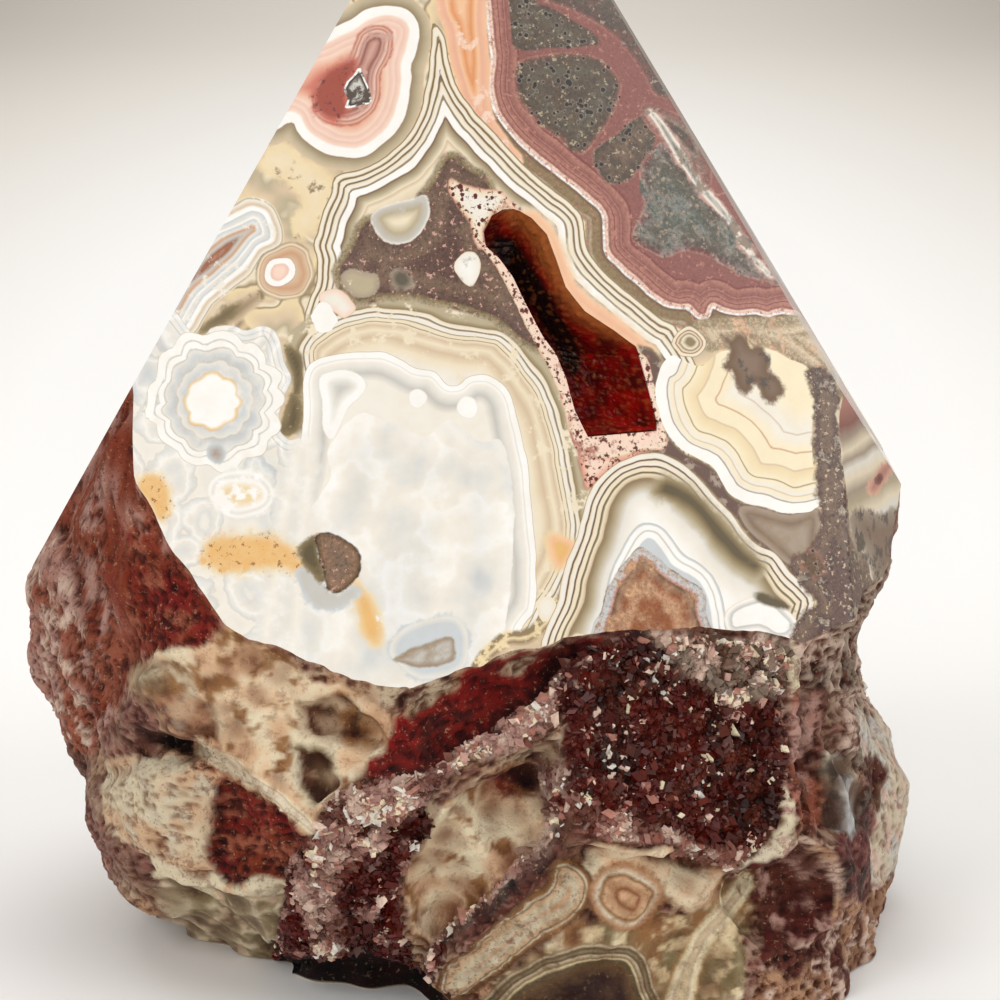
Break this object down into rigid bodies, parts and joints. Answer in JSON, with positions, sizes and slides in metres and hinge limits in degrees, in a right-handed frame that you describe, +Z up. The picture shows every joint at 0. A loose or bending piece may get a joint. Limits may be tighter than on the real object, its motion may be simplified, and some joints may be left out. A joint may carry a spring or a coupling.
{
  "type": "agate sculpture",
  "caption": "Polished agate point: natural rough nodule base with a flat foot, ground facets meeting at one point above, and a crystal-lined hollow in the front.",
  "frame": {"origin": "centre of the bounding box of the stone, on the plane of its flat sawn foot", "axes": "+Z up through the point, -Y towards the viewer of the two banded front facets, +X to that viewer's right"},
  "size_m": [0.0788, 0.0634, 0.1],
  "materials": {
    "agate": "polished",
    "druse": "sparkling crystals"
  },
  "bodies": {
    "root": {"agate_stone": "agate", "crystal_crust": "druse"}
  },
  "joints": []
}
